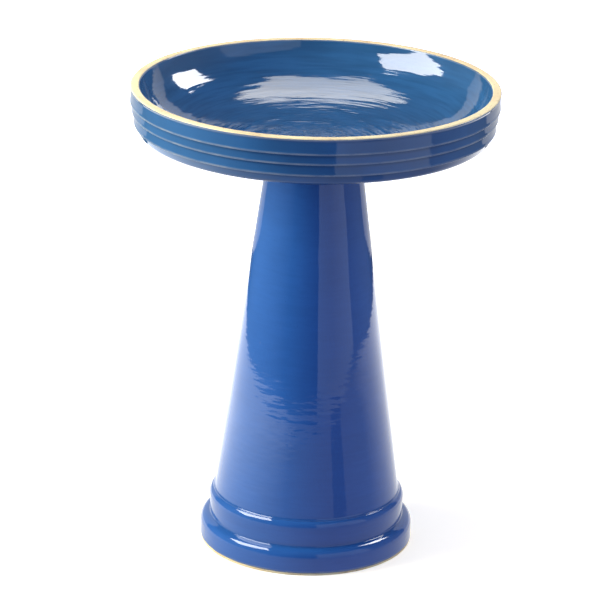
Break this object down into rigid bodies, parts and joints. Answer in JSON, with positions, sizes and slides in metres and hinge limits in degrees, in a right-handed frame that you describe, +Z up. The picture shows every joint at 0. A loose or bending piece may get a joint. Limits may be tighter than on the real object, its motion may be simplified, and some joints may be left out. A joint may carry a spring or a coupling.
{
  "type": "bird bath",
  "caption": "Glazed stoneware bird bath: shallow round bowl with a bare-clay lip and raised rings, on a hollow conical pedestal.",
  "frame": {"origin": "centre of the foot's underside, on the surface that the bird bath stands on", "axes": "+Z up along the axis of the pedestal and bowl; round about +Z, so +X and +Y are equivalent"},
  "size_m": [0.4318, 0.4318, 0.565],
  "materials": {
    "blue_glaze": "glossy cobalt-blue glaze, brushed round the basin, thinner and lighter on raised edges",
    "bare_clay": "unglazed cream to tan stoneware, on the lip and round the foot",
    "seat_rubber": "matt black rubber"
  },
  "bodies": {
    "pedestal": {"pedestal": "blue_glaze"},
    "seat_ring": {"seat_ring": "seat_rubber"},
    "bowl": {"bowl": "blue_glaze"}
  },
  "joints": [
    {"name": "bowl_turn", "type": "hinge", "parent": "pedestal", "child": "seat_ring", "pos_m": [0, 0, 0.4817], "axis": [0, 0, 1], "continuous": true},
    {"name": "bowl_lift", "type": "slide", "parent": "seat_ring", "child": "bowl", "axis": [0, 0, 1], "range_m": [0, 0.12]}
  ]
}
